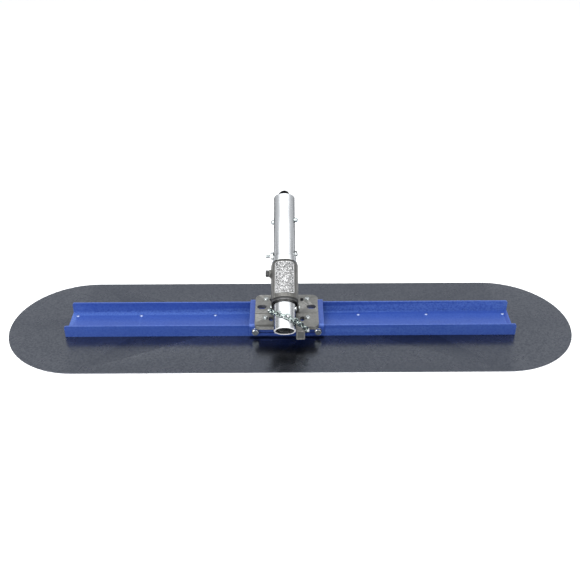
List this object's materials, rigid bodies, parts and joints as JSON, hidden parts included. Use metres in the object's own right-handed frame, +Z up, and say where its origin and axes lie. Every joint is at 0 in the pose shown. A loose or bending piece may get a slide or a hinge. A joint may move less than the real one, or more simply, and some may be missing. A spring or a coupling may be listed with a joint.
{
  "type": "bull float",
  "caption": "Long round-ended concrete finishing blade under a channel, with a cast bracket whose turning handle socket tilts the blade by a chain.",
  "frame": {"origin": "centre of the blade's underside", "axes": "+X along the blade, -Y towards the low open end of the handle tube, +Z up"},
  "size_m": [1.1175, 0.3054, 0.2307],
  "materials": {
    "blade_steel": "blued spring steel, brushed lengthwise, semi-gloss",
    "blue_paint": "semi-gloss blue powder coat",
    "cast_metal": "bare casting, lightly blasted",
    "socket_metal": "bare casting, darker",
    "label_metal": "bright, finely textured, no markings",
    "tube_aluminium": "bright drawn aluminium",
    "zinc": "bright zinc plating",
    "chain_zinc": "zinc plating with a faint green tint",
    "rivet_metal": "rivet heads with a blue tint",
    "bronze": "plain bearing bronze",
    "spring_steel": "dark oiled spring steel",
    "dark_steel": "black oxide",
    "washer_steel": "plain steel, slightly dull",
    "black_nylon": "moulded black nylon, satin"
  },
  "bodies": {
    "float": {"blade": "blade_steel", "channel": "blue_paint", "channel_rivets": "rivet_metal", "adapter_saddle": "blue_paint", "saddle_bolts": "zinc", "saddle_washers": "zinc", "saddle_nuts": "zinc", "base_plate": "cast_metal", "base_bolts": "zinc", "base_washers": "zinc", "chain_anchor_bolt": "zinc", "chain_anchor_washer": "zinc", "hinge_pin": "zinc", "hinge_pin_clip": "spring_steel", "chain_run": "chain_zinc", "return_spring": "spring_steel"},
    "socket": {"socket_casting": "socket_metal", "label_plate": "label_metal", "lower_bushing": "black_nylon", "upper_bushing": "bronze"},
    "lock_screw": {"lock_screw": "dark_steel"},
    "handle": {"handle_tube": "tube_aluminium", "retaining_ring": "spring_steel", "thrust_washer": "zinc", "stop_collar": "tube_aluminium", "cross_bolt": "zinc", "cross_bolt_nut": "zinc", "spring_clip": "spring_steel", "mouth_washer": "washer_steel", "chain_bolt": "zinc", "chain_bolt_nut": "zinc", "chain_wrap": "chain_zinc"},
    "left_button": {"left_button": "zinc"},
    "right_button": {"right_button": "zinc"}
  },
  "joints": [
    {"name": "pitch", "type": "hinge", "parent": "float", "child": "socket", "pos_m": [-0.0108, -0.005, 0.045], "axis": [1, 0, 0], "range_deg": [-20, 12], "deforming": ["chain_run", "return_spring"]},
    {"name": "handle_twist", "type": "hinge", "parent": "socket", "child": "handle", "pos_m": [-0.0108, -0.095, 0.0536], "axis": [0, 0.8241, 0.5664], "range_deg": [-26, 44]},
    {"name": "lock_screw_turn", "type": "hinge", "parent": "socket", "child": "lock_screw", "pos_m": [-0.0408, 0.00225, 0.12044], "axis": [-1, 0, 0], "range_deg": [-180, 180]},
    {"name": "left_button_press", "type": "slide", "parent": "handle", "child": "left_button", "axis": [0.9763, -0.1226, 0.1784], "range_m": [0, 0.005], "stiffness_N_per_m": 600, "springref_m": -0.004, "deforming": ["spring_clip"]},
    {"name": "right_button_press", "type": "slide", "parent": "handle", "child": "right_button", "axis": [-0.9763, 0.1226, -0.1784], "range_m": [0, 0.005], "stiffness_N_per_m": 600, "springref_m": -0.004, "deforming": ["spring_clip"]}
  ],
  "couplings": [
    {"joint": "pitch", "follows": "handle_twist", "ratio": -0.45}
  ]
}
